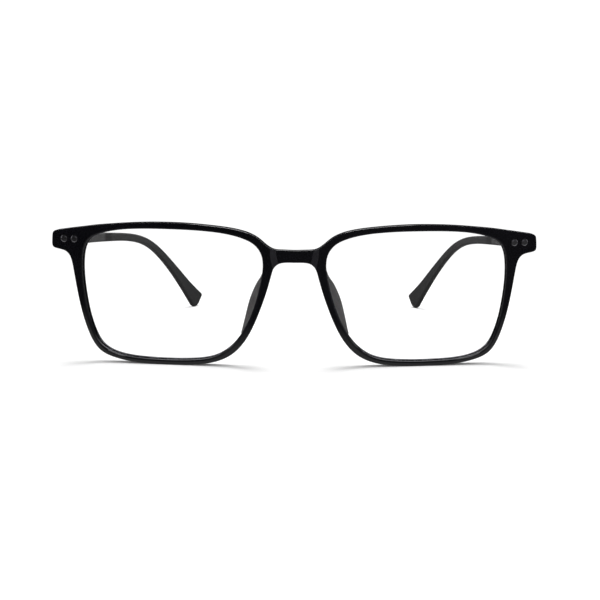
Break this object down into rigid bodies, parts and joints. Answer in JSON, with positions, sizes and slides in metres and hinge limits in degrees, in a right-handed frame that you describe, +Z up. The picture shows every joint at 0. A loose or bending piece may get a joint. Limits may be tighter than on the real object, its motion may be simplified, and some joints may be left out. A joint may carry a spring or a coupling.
{
  "type": "spectacles",
  "caption": "Slim rectangular full-rim spectacles with clear lenses, riveted hinges and folding drop-bend temples, standing open.",
  "frame": {"origin": "centre of the footprint: on the plane of symmetry, at table height, half way between the foremost point of the rims and the temple tips", "axes": "+X to the wearer's left, +Y backwards along the open temples, +Z up from the table"},
  "size_m": [0.1382, 0.1392, 0.0405],
  "materials": {
    "front_gloss_black": "high gloss moulded",
    "temple_matte_black": "fine matte, rubberised feel",
    "pad_smoke_grey": "smooth translucent smoke grey",
    "lens_clear": "polished, coated, faint blue-violet reflection",
    "hinge_steel": "satin",
    "rivet_gunmetal": "satin dark gunmetal",
    "screw_steel": "bright turned",
    "core_steel": "drawn strip"
  },
  "bodies": {
    "front": {"front_frame": "front_gloss_black", "lens_left": "lens_clear", "nose_pad_left": "pad_smoke_grey", "hinge_front_leaf_left": "hinge_steel", "hinge_screw_left": "screw_steel", "front_rivet_inner_left": "rivet_gunmetal", "front_rivet_outer_left": "rivet_gunmetal", "lens_right": "lens_clear", "nose_pad_right": "pad_smoke_grey", "hinge_front_leaf_right": "hinge_steel", "hinge_screw_right": "screw_steel", "front_rivet_inner_right": "rivet_gunmetal", "front_rivet_outer_right": "rivet_gunmetal"},
    "temple_arm_left": {"temple_left": "temple_matte_black", "temple_core_left": "core_steel", "hinge_temple_leaf_left": "hinge_steel", "temple_rivets_left": "rivet_gunmetal"},
    "temple_arm_right": {"temple_right": "temple_matte_black", "temple_core_right": "core_steel", "hinge_temple_leaf_right": "hinge_steel", "temple_rivets_right": "rivet_gunmetal"}
  },
  "joints": [
    {"name": "temple_hinge_left", "type": "hinge", "parent": "front", "child": "temple_arm_left", "pos_m": [0.0629, -0.05631, 0.03555], "axis": [0, 0, 1], "range_deg": [0, 83.5]},
    {"name": "temple_hinge_right", "type": "hinge", "parent": "front", "child": "temple_arm_right", "pos_m": [-0.0629, -0.05631, 0.03555], "axis": [0, 0, -1], "range_deg": [0, 78.5]}
  ]
}
